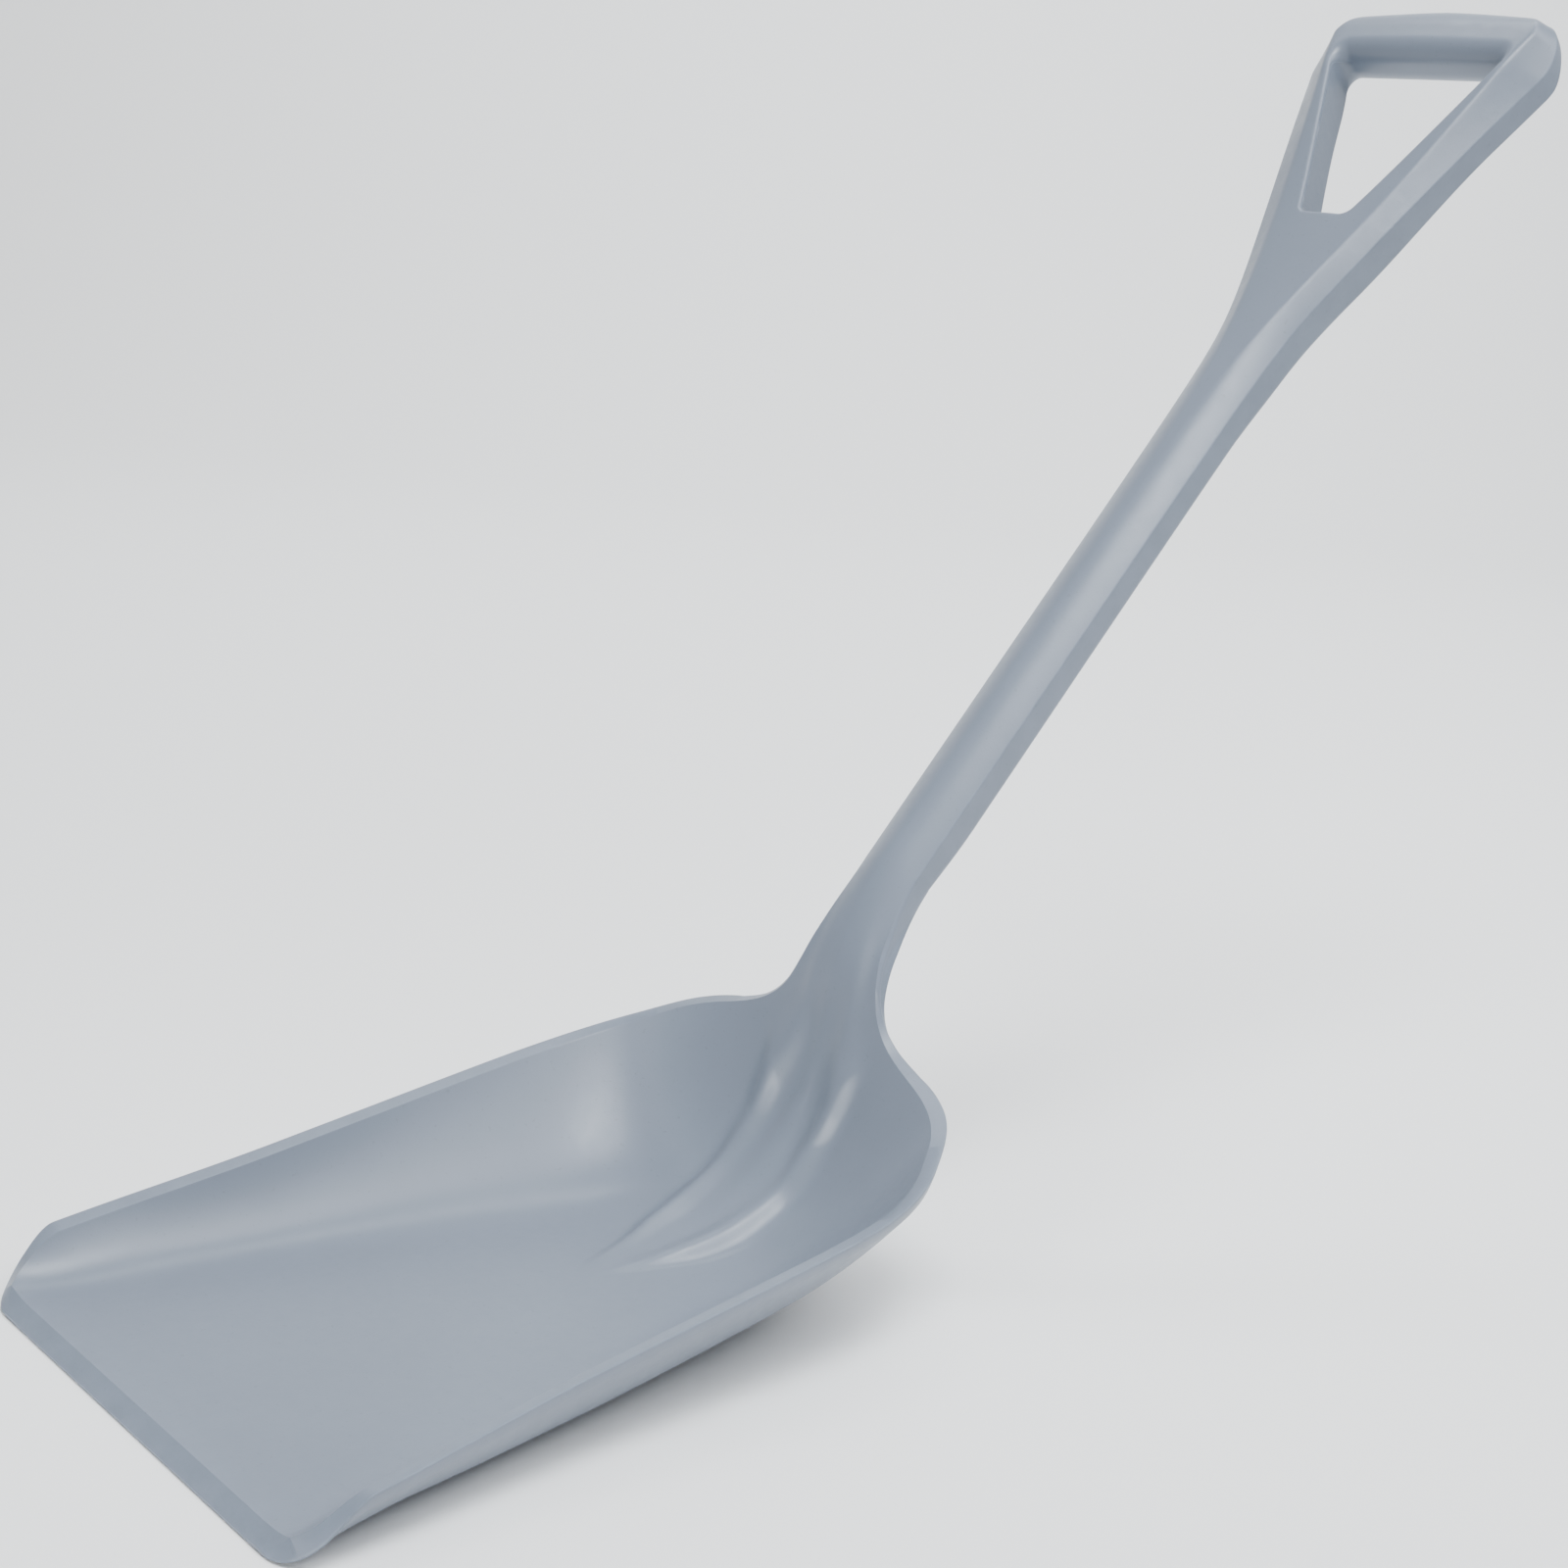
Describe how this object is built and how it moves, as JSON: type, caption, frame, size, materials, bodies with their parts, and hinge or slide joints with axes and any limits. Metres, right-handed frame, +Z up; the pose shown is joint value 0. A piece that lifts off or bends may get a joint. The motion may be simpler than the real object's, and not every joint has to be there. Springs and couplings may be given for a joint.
{
  "type": "ice scoop",
  "caption": "Long-handled D-grip ice scoop with a deep flat-bottomed pan, moulded in one piece of grey food-grade plastic.",
  "frame": {"origin": "on the resting plane, under the middle of the bounding box", "axes": "+X across the pan to its right-hand wall, the mouth faces -Y, the handle rises toward +Y, +Z up; the pan's flat underside rests on z = 0"},
  "size_m": [0.2598, 0.7712, 0.6088],
  "materials": {
    "body_plastic": "satin moulded polypropylene, fine texture",
    "plug_plastic": "satin, as moulded"
  },
  "bodies": {
    "root": {"scoop_body": "body_plastic", "core_plug": "plug_plastic"}
  },
  "joints": []
}
